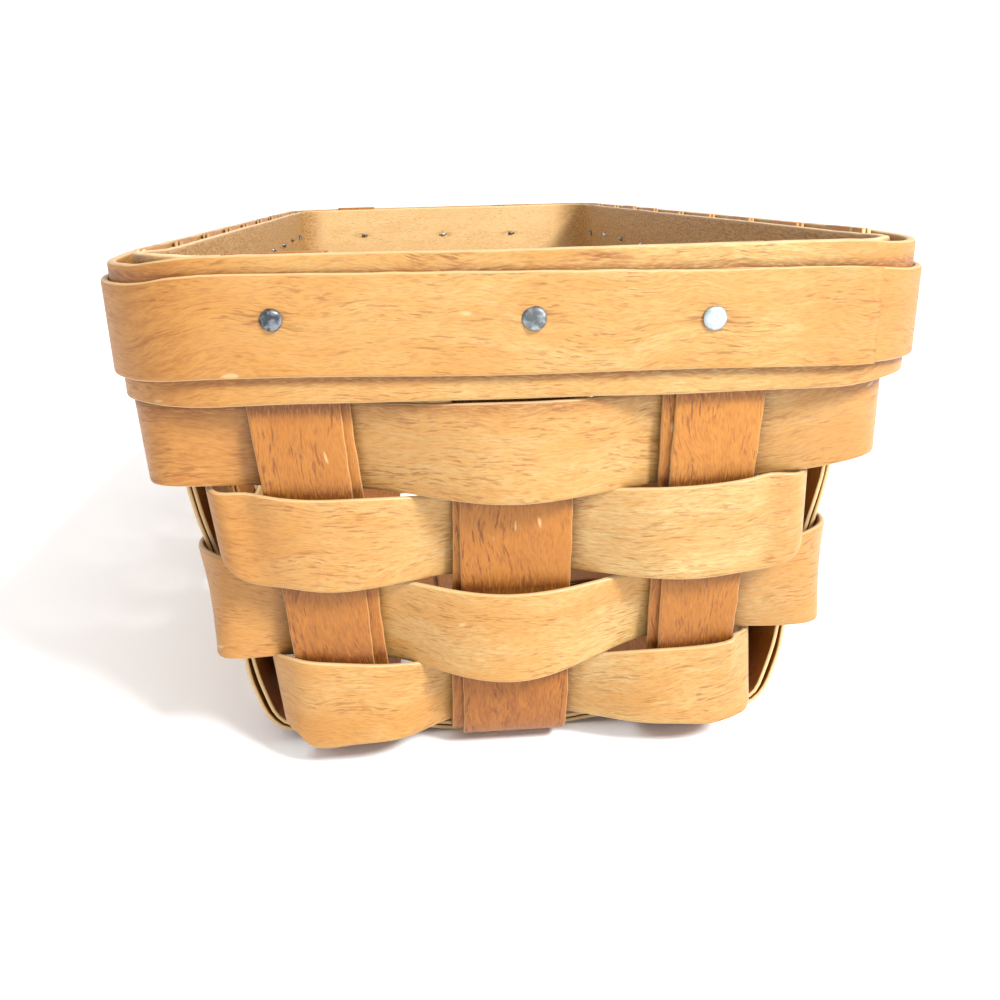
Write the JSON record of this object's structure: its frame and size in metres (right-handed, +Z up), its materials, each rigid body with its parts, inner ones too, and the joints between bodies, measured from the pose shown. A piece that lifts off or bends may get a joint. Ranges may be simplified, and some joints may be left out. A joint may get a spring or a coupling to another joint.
{
  "type": "cracker basket",
  "caption": "Long, low splint-woven basket with leaning sides, woven weaver rings and a nailed three-band rim, open at the top.",
  "frame": {"origin": "on the surface the basket stands on, under the middle of its bounding box", "axes": "+Z up, Y along the basket with the pictured end at -Y, X across it"},
  "size_m": [0.1286, 0.2936, 0.0865],
  "materials": {
    "band_wood": "satin honey-coloured maple, lightly oiled",
    "weaver_wood": "satin honey-coloured maple strip, lightly oiled",
    "splint_wood": "satin, darker orange-brown maple splint",
    "tack_steel": "dull to bright steel tack"
  },
  "bodies": {
    "root": {"wide_band": "band_wood", "trim_band": "band_wood", "inner_band": "band_wood", "weaver_row_1": "weaver_wood", "weaver_row_2": "weaver_wood", "weaver_row_3": "weaver_wood", "weaver_row_4": "weaver_wood", "long_splint_left_outer": "splint_wood", "long_splint_left_inner": "splint_wood", "long_splint_middle_outer": "splint_wood", "long_splint_middle_inner": "splint_wood", "long_splint_right_outer": "splint_wood", "long_splint_right_inner": "splint_wood", "cross_splint_1_outer": "splint_wood", "cross_splint_1_inner": "splint_wood", "cross_splint_2_outer": "splint_wood", "cross_splint_2_inner": "splint_wood", "cross_splint_3_outer": "splint_wood", "cross_splint_3_inner": "splint_wood", "cross_splint_4_outer": "splint_wood", "cross_splint_4_inner": "splint_wood", "cross_splint_5_outer": "splint_wood", "cross_splint_5_inner": "splint_wood", "cross_splint_6_outer": "splint_wood", "cross_splint_6_inner": "splint_wood", "cross_splint_7_outer": "splint_wood", "cross_splint_7_inner": "splint_wood", "cross_splint_8_outer": "splint_wood", "cross_splint_8_inner": "splint_wood", "cross_splint_9_outer": "splint_wood", "cross_splint_9_inner": "splint_wood", "tack_near_left": "tack_steel", "tack_near_middle": "tack_steel", "tack_near_right": "tack_steel", "tack_far_left": "tack_steel", "tack_far_middle": "tack_steel", "tack_far_right": "tack_steel", "tack_left_1": "tack_steel", "tack_left_2": "tack_steel", "tack_left_3": "tack_steel", "tack_left_4": "tack_steel", "tack_left_5": "tack_steel", "tack_left_6": "tack_steel", "tack_left_7": "tack_steel", "tack_left_8": "tack_steel", "tack_left_9": "tack_steel", "tack_right_1": "tack_steel", "tack_right_2": "tack_steel", "tack_right_3": "tack_steel", "tack_right_4": "tack_steel", "tack_right_5": "tack_steel", "tack_right_6": "tack_steel", "tack_right_7": "tack_steel", "tack_right_8": "tack_steel", "tack_right_9": "tack_steel"}
  },
  "joints": []
}
